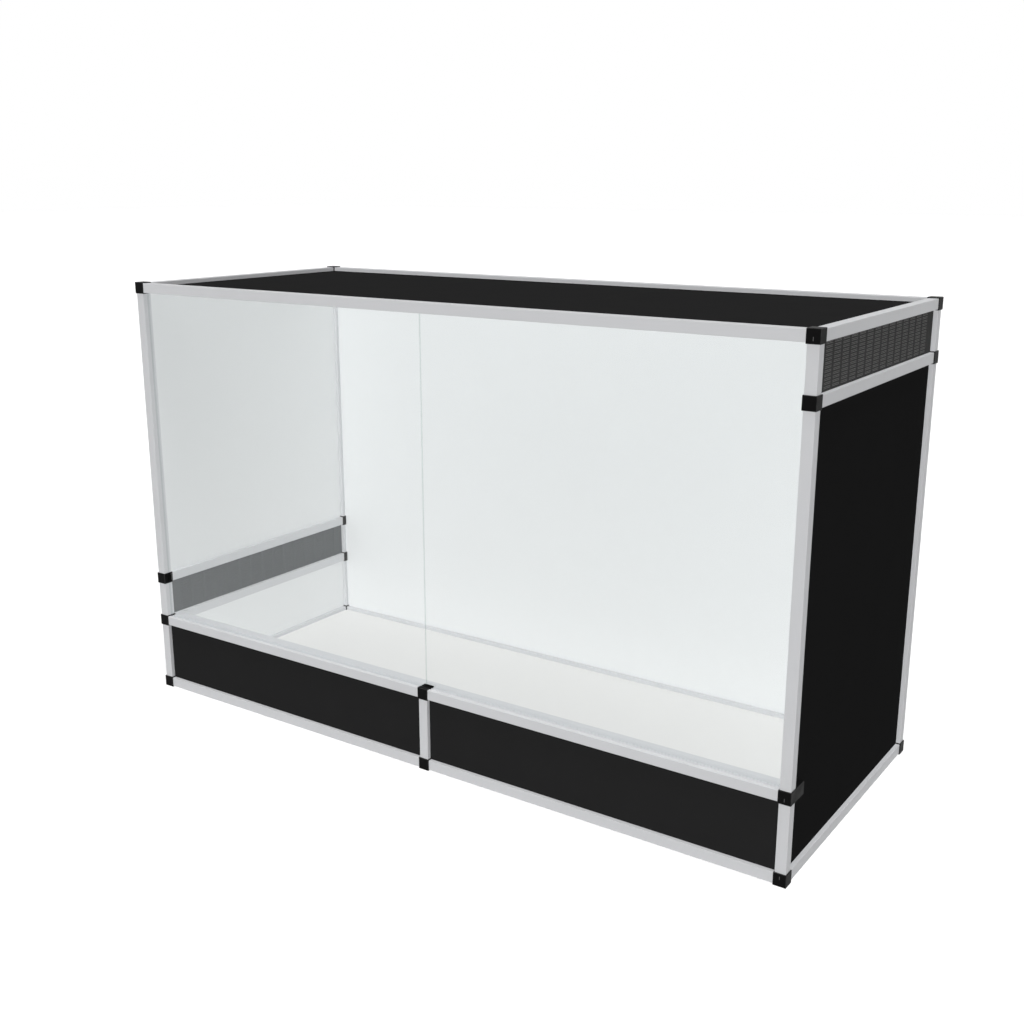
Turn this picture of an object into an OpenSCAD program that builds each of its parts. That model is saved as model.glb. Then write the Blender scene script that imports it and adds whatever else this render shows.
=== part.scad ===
// Reptile terrarium: a frame of grooved square tubes pushed onto moulded cube connectors,
// closed with thin panels, two slotted vents and two sliding glass doors.
// Frame: +X to the right, +Y to the back, +Z up. The origin is the middle of the base,
// on the surface that the connector cubes stand on.

/* [Frame] */
// Width of the frame between the centres of its left and right posts
grid_w = 1500; // [1000:10:1800]
// Depth of the frame between the centres of its front and back posts
grid_d = 600; // [400:10:800]
// Height of the frame between the centres of its bottom and top rails
grid_h = 900; // [600:10:1200]
// Height of the front sill and of the left lower rail above the bottom rails
sill_h = 150; // [100:5:250]
// Height of each ventilation opening between the centres of its rails
vent_h = 100; // [60:5:160]

/* [Square tube] */
// Outer width of the tube
tube_w = 20; // [19:0.5:24]
// Radius of the tube's long outer edges
tube_r = 0.8; // [0.4:0.1:1.2]
// Thickness of the outer wall
tube_wall = 1.5; // [1.1:0.1:2]
// Thickness of the webs inside the tube
web_t = 1.2; // [0.8:0.1:1.5]
// Depth of the panel grooves and of the upper door tracks
groove_depth = 5; // [4:0.1:5.2]

/* [Connectors] */
// How far a connector cube stands proud of the tubes
cube_proud = 2; // [0.5:0.1:3]
// Chamfer along the edges of a connector cube
cube_chamfer = 0.8; // [0.3:0.1:1.5]
// Width of the square peg over its barbs
peg_w = 7.2; // [6:0.1:7.4]
// Clearance between a peg and its socket on each side
peg_fit = 0.1; // [0.05:0.05:0.2]
// Length of a peg outside its cube
peg_l = 28; // [20:1:35]
// Number of barbs along a peg
peg_barbs = 3; // [1:1:5]
// Depth of a barb
barb_depth = 0.6; // [0.3:0.1:1]
// Length of the blanked arm on the right end of the sill
blank_arm_l = 30; // [10:1:60]

/* [Panels] */
// Thickness of the panels and of the vent plates
panel_t = 3; // [2:0.1:4]
// Clearance between a panel and each wall of its groove
panel_fit = 0.2; // [0.1:0.05:0.4]
// How far a panel reaches into the grooves at its sides and top
panel_hold = 3.8; // [2.5:0.1:4]
// Gap between the notched edge of a panel and a connector cube
notch_gap = 0.5; // [0.2:0.1:1]

/* [Vents] */
// Thickness of the slotted field inside a vent plate's rim
field_t = 1.5; // [1.2:0.1:2]
// Length of a vent slot
slot_l = 30; // [15:0.5:35]
// Height of a vent slot
slot_h = 0.9; // [0.7:0.05:1.3]
// Distance between slot centres along a row
slot_pitch_l = 37.5; // [37.5:0.5:60]
// Distance between pairs of slot rows
slot_pitch_h = 6.25; // [6:0.25:12]
// Distance between the two rows of a pair
slot_pair = 2.4; // [2:0.1:3]
// Slope of the slots, which fall towards the right on both plates
slot_tilt = 5; // [0:1:20]
// Plain rim above and below the slots
vent_rim = 3.5; // [2:0.5:8]
// Plain margin at each end of a row of slots
vent_margin = 25; // [5:1:50]
// Plain border of the thin field round its slots
field_border = 1; // [0.5:0.1:1.5]

/* [Glass doors] */
// Thickness of a glass door
glass_t = 4; // [3:0.1:4.5]
// Clearance between a door and each wall of its track
glass_fit = 0.25; // [0.15:0.05:0.35]
// Wall between the two door tracks
track_web = 1.5; // [1:0.1:1.6]
// Depth of the lower door tracks, in which the doors stand
sill_track_depth = 2.2; // [1.5:0.1:2.5]
// How far a door reaches into its upper track
door_top_hold = 2.4; // [1.5:0.1:2.6]
// Overlap of the two doors in the middle of the front
door_overlap = 4; // [2:0.5:60]
// Gap between the outer edge of a closed door and the post's connectors
door_side_gap = 0.5; // [0.3:0.1:2]

/* [Hidden] */
eps = 0.01;
overcut = 1;
half = tube_w / 2;
cube_w = tube_w + 2 * cube_proud;
cube_half = cube_w / 2;
socket_w = peg_w + 2 * peg_fit;
core_w = 2 * (half - groove_depth);
groove_w = panel_t + 2 * panel_fit;
track_w = glass_t + 2 * glass_fit;
track_pitch = track_w + track_web;

// Centre lines of the frame
left_x = -grid_w / 2;
right_x = grid_w / 2;
front_y = -grid_d / 2;
back_y = grid_d / 2;
bottom_z = cube_half;
sill_z = bottom_z + sill_h;
left_vent_z = sill_z + vent_h;
top_z = bottom_z + grid_h;
right_vent_z = top_z - vent_h;

// Lanes of the doors: the left door runs in the front track, in the middle of the tube
left_lane_y = front_y;
right_lane_y = front_y + track_pitch;
track_floor_z = sill_z + half - sill_track_depth;

// What a side of a tube carries
PLAIN = 0;
PANEL = 1;
TRACK_LOW = 2;
TRACK_HIGH = 3;

// Directions of the pegs of a connector
LEFT = [-1, 0, 0];
RIGHT = [1, 0, 0];
FRONT = [0, -1, 0];
BACK = [0, 1, 0];
DOWN = [0, 0, -1];
UP = [0, 0, 1];

ALU = "gainsboro";
PLASTIC = "dimgray";
BOARD = "darkslategray";
VENT = "slategray";
GLASS = [0.75, 0.9, 0.88, 0.45];

// Every connector: name, centre, pegs
CONNECTORS = [
    ["connector_bottom_front_left", [left_x, front_y, bottom_z], [RIGHT, BACK, UP]],
    ["connector_bottom_front_mid", [0, front_y, bottom_z], [LEFT, RIGHT, UP]],
    ["connector_bottom_front_right", [right_x, front_y, bottom_z], [LEFT, BACK, UP]],
    ["connector_bottom_back_left", [left_x, back_y, bottom_z], [RIGHT, FRONT, UP]],
    ["connector_bottom_back_right", [right_x, back_y, bottom_z], [LEFT, FRONT, UP]],
    ["connector_sill_front_left", [left_x, front_y, sill_z], [RIGHT, BACK, DOWN, UP]],
    ["connector_sill_front_mid", [0, front_y, sill_z], [LEFT, RIGHT, DOWN]],
    ["connector_sill_front_right", [right_x, front_y, sill_z], [LEFT, DOWN, UP]],
    ["connector_sill_back_left", [left_x, back_y, sill_z], [FRONT, DOWN, UP]],
    ["connector_vent_front_left", [left_x, front_y, left_vent_z], [BACK, DOWN, UP]],
    ["connector_vent_back_left", [left_x, back_y, left_vent_z], [FRONT, DOWN, UP]],
    ["connector_vent_front_right", [right_x, front_y, right_vent_z], [BACK, DOWN, UP]],
    ["connector_vent_back_right", [right_x, back_y, right_vent_z], [FRONT, DOWN, UP]],
    ["connector_top_front_left", [left_x, front_y, top_z], [RIGHT, BACK, DOWN]],
    ["connector_top_front_right", [right_x, front_y, top_z], [LEFT, BACK, DOWN]],
    ["connector_top_back_left", [left_x, back_y, top_z], [RIGHT, FRONT, DOWN]],
    ["connector_top_back_right", [right_x, back_y, top_z], [LEFT, FRONT, DOWN]],
];

// Rails across the width: name, centres of the end connectors along X, [y, z],
// then what the front, back, lower and upper sides carry
WIDTH_RAILS = [
    ["rail_bottom_front_left", [left_x, 0], [front_y, bottom_z], [PLAIN, PANEL, PLAIN, PANEL]],
    ["rail_bottom_front_right", [0, right_x], [front_y, bottom_z], [PLAIN, PANEL, PLAIN, PANEL]],
    ["rail_bottom_back", [left_x, right_x], [back_y, bottom_z], [PANEL, PLAIN, PLAIN, PANEL]],
    ["rail_sill_left", [left_x, 0], [front_y, sill_z], [PLAIN, PLAIN, PANEL, TRACK_LOW]],
    ["rail_sill_right", [0, right_x], [front_y, sill_z], [PLAIN, PLAIN, PANEL, TRACK_LOW]],
    ["rail_top_front", [left_x, right_x], [front_y, top_z], [PLAIN, PANEL, TRACK_HIGH, PLAIN]],
    ["rail_top_back", [left_x, right_x], [back_y, top_z], [PANEL, PLAIN, PANEL, PLAIN]],
];

// Rails from front to back: name, [x, z], then what the left, right, lower and upper sides carry
DEPTH_RAILS = [
    ["rail_bottom_left", [left_x, bottom_z], [PLAIN, PANEL, PLAIN, PANEL]],
    ["rail_bottom_right", [right_x, bottom_z], [PANEL, PLAIN, PLAIN, PANEL]],
    ["rail_left_vent_lower", [left_x, sill_z], [PLAIN, PLAIN, PANEL, PANEL]],
    ["rail_left_vent_upper", [left_x, left_vent_z], [PLAIN, PLAIN, PANEL, PANEL]],
    ["rail_right_vent", [right_x, right_vent_z], [PLAIN, PLAIN, PANEL, PANEL]],
    ["rail_top_left", [left_x, top_z], [PLAIN, PANEL, PANEL, PLAIN]],
    ["rail_top_right", [right_x, top_z], [PANEL, PLAIN, PANEL, PLAIN]],
];

// Posts: name, centres of the end connectors along Z, [x, y],
// then what the left, right, front and back sides carry
POSTS = [
    ["post_front_left_lower", [bottom_z, sill_z], [left_x, front_y], [PLAIN, PANEL, PLAIN, PANEL]],
    ["post_front_left_middle", [sill_z, left_vent_z], [left_x, front_y], [PLAIN, PLAIN, PLAIN, PANEL]],
    ["post_front_left_upper", [left_vent_z, top_z], [left_x, front_y], [PLAIN, PLAIN, PLAIN, PANEL]],
    ["post_front_mid", [bottom_z, sill_z], [0, front_y], [PANEL, PANEL, PLAIN, PLAIN]],
    ["post_front_right_lower", [bottom_z, sill_z], [right_x, front_y], [PANEL, PLAIN, PLAIN, PANEL]],
    ["post_front_right_middle", [sill_z, right_vent_z], [right_x, front_y], [PLAIN, PLAIN, PLAIN, PANEL]],
    ["post_front_right_upper", [right_vent_z, top_z], [right_x, front_y], [PLAIN, PLAIN, PLAIN, PANEL]],
    ["post_back_left_lower", [bottom_z, sill_z], [left_x, back_y], [PLAIN, PANEL, PANEL, PLAIN]],
    ["post_back_left_middle", [sill_z, left_vent_z], [left_x, back_y], [PLAIN, PANEL, PANEL, PLAIN]],
    ["post_back_left_upper", [left_vent_z, top_z], [left_x, back_y], [PLAIN, PANEL, PANEL, PLAIN]],
    ["post_back_right_lower", [bottom_z, right_vent_z], [right_x, back_y], [PANEL, PLAIN, PANEL, PLAIN]],
    ["post_back_right_upper", [right_vent_z, top_z], [right_x, back_y], [PANEL, PLAIN, PANEL, PLAIN]],
];

// ---- Tube ----

// A square with rounded corners
module rounded_square(width, radius) {
    straight = width - 2 * radius;
    square([straight, width], center = true);
    square([width, straight], center = true);
    for (x = [-1, 1], y = [-1, 1])
        translate([x * straight / 2, y * straight / 2]) circle(r = radius, $fn = 32);
}

// One side of the section, drawn as its right side: what stands inside the wall there.
// lane is the direction in which the second door track lies.
module side_web(kind, lane) {
    if (kind == PANEL)
        translate([half - groove_depth - eps, -groove_w / 2 - web_t])
            square([groove_depth - tube_wall + 2 * eps, groove_w + 2 * web_t]);
    else
        translate([core_w / 2 - eps, -web_t / 2])
            square([half - core_w / 2 - tube_wall + 2 * eps, web_t]);
    if (kind == TRACK_LOW) track_block(sill_track_depth + web_t, lane);
    if (kind == TRACK_HIGH) track_block(half - groove_w / 2 - web_t, lane);
}

// The solid bar that the two door tracks are cut into
module track_block(depth, lane) {
    low = min(0, lane * track_pitch) - track_w / 2 - web_t;
    high = min(half - eps, max(0, lane * track_pitch) + track_w / 2 + web_t);
    translate([half - depth, max(low, -half + eps)])
        square([depth - tube_wall + eps, high - max(low, -half + eps)]);
}

// What is cut out of one side of the section, drawn as its right side
module side_cut(kind, lane) {
    if (kind == PANEL)
        translate([half - groove_depth, -groove_w / 2]) square([groove_depth + overcut, groove_w]);
    if (kind == TRACK_LOW) track_cut(sill_track_depth, lane);
    if (kind == TRACK_HIGH) track_cut(groove_depth, lane);
}

module track_cut(depth, lane) {
    for (track = [0, 1])
        translate([half - depth, lane * track * track_pitch - track_w / 2])
            square([depth + overcut, track_w]);
}

// The tube's section. sides tells what its left, right, lower and upper sides carry.
module section(sides) {
    turns = [180, 0, -90, 90];
    lanes = [1, 1, 1, -1];
    difference() {
        union() {
            difference() {
                rounded_square(tube_w, tube_r);
                square(tube_w - 2 * tube_wall, center = true);
            }
            square(core_w, center = true);
            for (i = [0 : 3]) rotate(turns[i]) side_web(sides[i], lanes[i]);
        }
        square(socket_w, center = true);
        for (i = [0 : 3]) rotate(turns[i]) side_cut(sides[i], lanes[i]);
    }
}

// A tube that reaches from one cube to the next, along Z, centred on its middle
module tube(ends, sides) {
    linear_extrude(ends[1] - ends[0] - cube_w, center = true) section(sides);
}

module width_rail(rail) {
    color(ALU)
        translate([(rail[1][0] + rail[1][1]) / 2, rail[2][0], rail[2][1]])
            rotate([90, 0, 90]) tube(rail[1], rail[3]);
}

module depth_rail(rail) {
    color(ALU)
        translate([rail[1][0], 0, rail[1][1]])
            rotate([90, 0, 0]) tube([front_y, back_y], rail[2]);
}

module post(item) {
    color(ALU)
        translate([item[2][0], item[2][1], (item[1][0] + item[1][1]) / 2])
            tube(item[1], item[3]);
}

// ---- Connectors ----

module chamfered_square(width) {
    a = width / 2;
    b = a - cube_chamfer;
    polygon([[a, -b], [a, b], [b, a], [-b, a], [-a, b], [-a, -b], [-b, -a], [b, -a]]);
}

module connector_cube() {
    intersection() {
        linear_extrude(cube_w, center = true) chamfered_square(cube_w);
        rotate([90, 0, 0]) linear_extrude(cube_w, center = true) chamfered_square(cube_w);
        rotate([0, 90, 0]) linear_extrude(cube_w, center = true) chamfered_square(cube_w);
    }
}

// Half of the saw-tooth outline of a peg that points up
function barb_outline() = let(
        outer = peg_w / 2,
        inner = outer - barb_depth,
        step = peg_l / peg_barbs
    ) [for (i = [0 : peg_barbs - 1], point = [[outer, i * step], [inner, (i + 1) * step]])
        [point[0], cube_half + point[1]]];

// A barbed square peg that points up: one saw-tooth outline seen from the front,
// crossed with the same outline seen from the side
module peg() {
    side = barb_outline();
    outline = concat([[peg_w / 2, 0]], side,
        [for (i = [len(side) - 1 : -1 : 0]) [-side[i][0], side[i][1]]], [[-peg_w / 2, 0]]);
    intersection() {
        rotate([90, 0, 0]) linear_extrude(peg_w, center = true) polygon(outline);
        rotate([90, 0, 90]) linear_extrude(peg_w, center = true) polygon(outline);
    }
}

// Turns what points up into another direction
module pointing(direction) {
    if (direction[2] != 0) mirror([0, 0, direction[2] < 0 ? 1 : 0]) children();
    else if (direction[0] != 0) rotate([0, 90 * direction[0], 0]) children();
    else rotate([-90 * direction[1], 0, 0]) children();
}

module connector(item) {
    color(PLASTIC)
        difference() {
            union() {
                translate(item[1]) connector_cube();
                for (direction = item[2]) translate(item[1]) pointing(direction) peg();
                if (item[0] == "connector_sill_front_right") blank_arm();
            }
            if (item[0] == "connector_sill_front_mid") door_lanes();
        }
}

// The closed arm at the right end of the sill. It lies along the outside of the right panel.
module blank_arm() {
    thickness = cube_half - panel_t / 2 - panel_fit;
    c = cube_chamfer;
    translate([right_x + cube_half, front_y + cube_half - cube_chamfer, sill_z])
        rotate([-90, 0, 0])
            linear_extrude(blank_arm_l + cube_chamfer)
                polygon([[-thickness, -cube_half], [-c, -cube_half], [0, -cube_half + c],
                    [0, cube_half - c], [-c, cube_half], [-thickness, cube_half]]);
}

// The two door tracks, carried on across the top of the middle connector
module door_lanes() {
    for (lane_y = [left_lane_y, right_lane_y])
        translate([-cube_half - overcut, lane_y - track_w / 2, track_floor_z])
            cube([cube_w + 2 * overcut, track_w, cube_w]);
}

// ---- Panels ----

// The space around every connector that a sheet is notched to clear
module connector_space() {
    for (connector = CONNECTORS)
        translate(connector[1]) cube(cube_w + 2 * notch_gap, center = true);
}

// A sheet in its grooves, notched round the connectors: low and high corners
module sheet(low, high) {
    difference() {
        translate(low) cube(high - low);
        connector_space();
    }
}

// Edges of a sheet between two centre lines, held at both ends
function held(from, to) = [from + half - panel_hold, to - half + panel_hold];

// Edges of a sheet that stands in the groove of the lower rail
function standing(from, to) = [from + half - groove_depth, to - half + panel_hold];

// A level sheet, which lies on the lower walls of its grooves
module level_panel(z) {
    xs = held(left_x, right_x);
    ys = held(front_y, back_y);
    low = z - groove_w / 2;
    color(BOARD) sheet([xs[0], ys[0], low], [xs[1], ys[1], low + panel_t]);
}

module side_sheet(x, from, to) {
    ys = held(front_y, back_y);
    zs = standing(from, to);
    sheet([x - panel_t / 2, ys[0], zs[0]], [x + panel_t / 2, ys[1], zs[1]]);
}

module cross_panel(y, x_from, x_to, z_from, z_to) {
    xs = held(x_from, x_to);
    zs = standing(z_from, z_to);
    color(BOARD) sheet([xs[0], y - panel_t / 2, zs[0]], [xs[1], y + panel_t / 2, zs[1]]);
}

module panel_floor() { level_panel(bottom_z); }
module panel_top() { level_panel(top_z); }
module panel_back() { cross_panel(back_y, left_x, right_x, bottom_z, top_z); }
module panel_front_left() { cross_panel(front_y, left_x, 0, bottom_z, sill_z); }
module panel_front_right() { cross_panel(front_y, 0, right_x, bottom_z, sill_z); }
module panel_right() { color(BOARD) side_sheet(right_x, bottom_z, right_vent_z); }
module panel_left_lower() { color(BOARD) side_sheet(left_x, bottom_z, sill_z); }
module panel_left_upper() { color(BOARD) side_sheet(left_x, left_vent_z, top_z); }

// ---- Vents ----

// One slot through a field that faces +X, falling towards +X
module vent_slot() {
    rotate([0, slot_tilt, 0]) cube([4 * panel_t, slot_l, slot_h], center = true);
}

// A vent plate between two rails. Both sides take the same plate, turned the same way.
module vent(x, from, to) {
    room_l = grid_d - tube_w - 2 * vent_margin;
    room_h = to - from - tube_w - 2 * vent_rim;
    across = floor((room_l - slot_l) / slot_pitch_l);
    rows = floor((room_h - slot_pair - slot_h) / slot_pitch_h);
    field_l = across * slot_pitch_l + slot_l + 2 * field_border;
    field_h = rows * slot_pitch_h + slot_pair + slot_h + 2 * field_border;
    middle_z = (from + to) / 2;
    color(VENT)
        difference() {
            side_sheet(x, from, to);
            for (face = [-1, 1])
                translate([x + face * (field_t + panel_t) / 2, 0, middle_z])
                    cube([panel_t, field_l, field_h], center = true);
            for (i = [0 : across], j = [0 : rows], row = [-1, 1])
                translate([x, (i - across / 2) * slot_pitch_l,
                        middle_z + (j - rows / 2) * slot_pitch_h + row * slot_pair / 2])
                    vent_slot();
        }
}

module vent_left() { vent(left_x, sill_z, left_vent_z); }
module vent_right() { vent(right_x, right_vent_z, top_z); }

// ---- Doors ----

// A pane that stands in its lower track and reaches into the upper one
module door(lane_y, xs) {
    height = top_z - half + door_top_hold - track_floor_z;
    color(GLASS)
        translate([xs[0], lane_y - glass_t / 2, track_floor_z])
            cube([xs[1] - xs[0], glass_t, height]);
}

module door_left() { door(left_lane_y, [left_x + cube_half + door_side_gap, door_overlap / 2]); }
module door_right() { door(right_lane_y, [-door_overlap / 2, right_x - cube_half - door_side_gap]); }

// ---- The parts ----

for (rail = WIDTH_RAILS) width_rail(rail);
for (rail = DEPTH_RAILS) depth_rail(rail);
for (item = POSTS) post(item);
for (item = CONNECTORS) connector(item);
panel_floor();
panel_top();
panel_back();
panel_right();
panel_left_lower();
panel_left_upper();
panel_front_left();
panel_front_right();
vent_left();
vent_right();
door_left();
door_right();
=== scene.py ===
"""Finishes, light and view for a framed reptile terrarium.

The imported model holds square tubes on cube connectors, thin boards, two slotted vent
plates and two glass doors. This script gives every piece its finish. It makes the glass
panes with ground edges and the vent plates with steep slots, which stand for their
nodes, and adds the ledge behind the sill and the moulding marks of the connectors. Then
it sets up a plain pale studio.
"""

from __future__ import annotations

import logging
import math
from collections.abc import Iterable
from dataclasses import dataclass, field
from enum import Enum
from itertools import product

import bmesh
import bpy
from mathutils import Matrix, Vector

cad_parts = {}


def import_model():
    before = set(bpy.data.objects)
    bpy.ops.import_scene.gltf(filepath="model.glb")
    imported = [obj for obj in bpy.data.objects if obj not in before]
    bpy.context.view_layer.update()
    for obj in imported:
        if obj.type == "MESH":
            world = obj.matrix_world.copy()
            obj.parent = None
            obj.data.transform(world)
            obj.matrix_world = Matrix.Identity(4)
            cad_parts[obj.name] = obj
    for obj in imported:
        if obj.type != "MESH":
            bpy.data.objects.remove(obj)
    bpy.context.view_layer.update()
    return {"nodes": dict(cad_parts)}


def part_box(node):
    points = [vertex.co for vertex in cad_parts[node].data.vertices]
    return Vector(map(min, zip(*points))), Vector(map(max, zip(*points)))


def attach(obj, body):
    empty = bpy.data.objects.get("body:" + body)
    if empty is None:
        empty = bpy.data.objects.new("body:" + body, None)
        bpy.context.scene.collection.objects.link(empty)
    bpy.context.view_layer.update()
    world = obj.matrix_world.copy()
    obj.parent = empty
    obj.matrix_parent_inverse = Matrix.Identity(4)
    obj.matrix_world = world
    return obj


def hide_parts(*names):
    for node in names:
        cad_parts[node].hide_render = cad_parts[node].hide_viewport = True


LOG = logging.getLogger("terrarium")
WHITE = (1.0, 1.0, 1.0)
# Most of a noise lies between these values
NOISE_REACH = (0.3, 0.7)
FINE_LAYERS = 2.0
Triple = tuple[float, float, float]
Colour = Triple
Span = tuple[float, float]
Socket = bpy.types.NodeSocket
Term = Socket | float | Triple


class Axis(Enum):
    """A direction of the frame, and the place of its coordinate in a point."""

    X = 0
    Y = 1
    Z = 2


class Side(Enum):
    """The way that the outside face of a board looks: its axis and sign."""

    LEFT = (Axis.X, -1)
    RIGHT = (Axis.X, 1)
    FRONT = (Axis.Y, -1)
    BACK = (Axis.Y, 1)
    DOWN = (Axis.Z, -1)
    UP = (Axis.Z, 1)


class NodeSheet:
    """A node tree, with short calls to add and join its nodes."""

    def __init__(self, tree: bpy.types.NodeTree) -> None:
        """Takes a node tree to draw in.

        Args:
            tree: The tree.
        """
        self.tree = tree

    def feed(self, terms: Iterable[Term], places: Iterable[Socket]) -> None:
        """Gives input sockets what they need.

        Args:
            terms: Sockets to link, or plain values to set.
            places: The input sockets, in the same order.
        """
        for term, place in zip(terms, places):
            if isinstance(term, Socket):
                self.tree.links.new(term, place)
            else:
                place.default_value = term

    def add(
        self,
        kind: str,
        inputs: dict[str | int, Term] | None = None,
        **settings: object,
    ) -> bpy.types.Node:
        """Adds a node.

        Args:
            kind: The node's type name, as Blender gives it.
            inputs: A socket or a plain value for each input, by its name or number.
            **settings: Properties of the node, such as operation or data_type.

        Returns:
            The new node.
        """
        node = self.tree.nodes.new(kind)
        for name, value in settings.items():
            setattr(node, name, value)
        for key, term in (inputs or {}).items():
            self.feed([term], [node.inputs[key]])
        return node

    def sum(self, operation: str, *terms: Socket | float) -> Socket:
        """Adds a Math node.

        Args:
            operation: The node's operation, as Blender names it.
            *terms: Sockets to link, or numbers to set.

        Returns:
            The socket of the result.
        """
        node = self.add("ShaderNodeMath", operation=operation)
        self.feed(terms, node.inputs)
        return node.outputs["Value"]

    def parts(self, vector: Socket) -> bpy.types.bpy_prop_collection:
        """Returns the sockets of a vector's three parts."""
        return self.add("ShaderNodeSeparateXYZ", {"Vector": vector}).outputs


class Graph(NodeSheet):
    """A material's or world's node tree."""

    def __init__(self, owner: bpy.types.Material | bpy.types.World) -> None:
        """Starts an empty tree.

        Args:
            owner: The material or world that holds the tree.
        """
        owner.use_nodes = True
        super().__init__(owner.node_tree)
        self.tree.nodes.clear()

    def object_point(self) -> Socket:
        """Returns the socket of the surface point in object coordinates."""
        return self.add("ShaderNodeTexCoord").outputs["Object"]

    def noise(
        self,
        point: Socket,
        per_metre: Triple | float,
        detail: float = 3.0,
        seed: Triple = (0.0, 0.0, 0.0),
    ) -> Socket:
        """Adds a noise pattern.

        Args:
            point: The socket that gives the surface point.
            per_metre: How many features a metre holds, for all axes or for X, Y and Z.
            detail: How many finer layers the noise has.
            seed: A shift of the pattern, so that two patterns differ.

        Returns:
            The socket of the noise value, from 0 to 1.
        """
        if isinstance(per_metre, float):
            per_metre = (per_metre,) * 3
        place = self.add(
            "ShaderNodeMapping",
            {"Vector": point, "Scale": per_metre, "Location": seed},
        ).outputs["Vector"]
        noise = self.add(
            "ShaderNodeTexNoise", {"Vector": place, "Scale": 1.0, "Detail": detail}
        )
        return noise.outputs["Fac"]

    def fit(self, value: Socket, start: Span, end: Span = (0.0, 1.0)) -> Socket:
        """Maps a value from one range onto another.

        Args:
            value: The socket of the value.
            start: The range that it comes from.
            end: The range that it is brought to.

        Returns:
            The socket of the mapped value.
        """
        names = ("Value", "From Min", "From Max", "To Min", "To Max")
        inputs = dict(zip(names, (value, *start, *end)))
        return self.add("ShaderNodeMapRange", inputs).outputs["Result"]

    def tones(
        self, value: Socket, low: Socket | Colour, high: Socket | Colour
    ) -> Socket:
        """Mixes two colours by a value.

        Args:
            value: The socket that picks between them, from 0 to 1.
            low: The colour at 0, or its socket.
            high: The colour at 1, or its socket.

        Returns:
            The socket of the mixed colour.
        """
        mix = self.add("ShaderNodeMix", data_type="RGBA")
        ends = [(*end, 1.0) if isinstance(end, tuple) else end for end in (low, high)]
        self.feed((value, *ends), [mix.inputs[name] for name in ("Factor", "A", "B")])
        return mix.outputs["Result"]

    def clouded(self, clouds: Socket, colour: Colour, factors: Span) -> Socket:
        """Returns the socket of a colour that drifts between two factors of itself."""
        return self.tones(clouds, *(shade(colour, factor) for factor in factors))

    def slant(self, limits: Span = (0.93, 0.65)) -> Socket:
        """Finds the chamfers between faces that are square to the axes.

        Args:
            limits: The largest squared part of a normal at which the share is 0, and at
                which it is 1.

        Returns:
            The socket of a share, from 0 on a square face to 1 on a chamfer.
        """
        normal = self.add("ShaderNodeTexCoord").outputs["Normal"]
        squares = [self.sum("POWER", part, 2.0) for part in self.parts(normal)]
        largest = self.sum(
            "MAXIMUM", self.sum("MAXIMUM", squares[0], squares[1]), squares[2]
        )
        return self.fit(largest, limits)

    def relief(self, height: Socket, depth: float, strength: float) -> Socket:
        """Adds a bump.

        Args:
            height: The socket of the height pattern.
            depth: The pattern's depth in metres.
            strength: How much of the bump shows, from 0 to 1.

        Returns:
            The socket of the bumped normal.
        """
        inputs = {"Height": height, "Distance": depth, "Strength": strength}
        return self.add("ShaderNodeBump", inputs).outputs["Normal"]

    def surface(self, shader: Socket) -> None:
        """Sends a shader to the material output."""
        self.add("ShaderNodeOutputMaterial", {"Surface": shader})

    def coat(
        self,
        colour: Socket,
        roughness: Socket,
        normal: Socket,
        gloss: float,
        metallic: float = 0.0,
    ) -> None:
        """Sends a solid finish to the material output.

        Args:
            colour: The socket of its colour.
            roughness: The socket of its roughness.
            normal: The socket of its bumped normal.
            gloss: Its specular level.
            metallic: How metallic it is, from 0 to 1.
        """
        shader = self.add(
            "ShaderNodeBsdfPrincipled",
            {
                "Base Color": colour,
                "Roughness": roughness,
                "Normal": normal,
                "Specular IOR Level": gloss,
                "Metallic": metallic,
            },
        )
        self.surface(shader.outputs["BSDF"])

    def seen_share(self) -> Socket:
        """Finds the rays that see: the camera's, a gloss's and those through glass.

        Returns:
            The socket of a share, which is 1 for them and 0 for the rest.
        """
        rays = self.add("ShaderNodeLightPath").outputs
        seen = self.sum("MAXIMUM", rays["Is Camera Ray"], rays["Is Glossy Ray"])
        return self.sum("MAXIMUM", seen, rays["Is Transmission Ray"])

    def blend(self, share: Socket, low: Socket, high: Socket) -> Socket:
        """Mixes two shaders.

        Args:
            share: The socket that picks between them, from 0 to 1.
            low: The shader at 0.
            high: The shader at 1.

        Returns:
            The socket of the mixed shader.
        """
        mix = self.add("ShaderNodeMixShader", {"Fac": share, 1: low, 2: high})
        return mix.outputs["Shader"]


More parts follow.
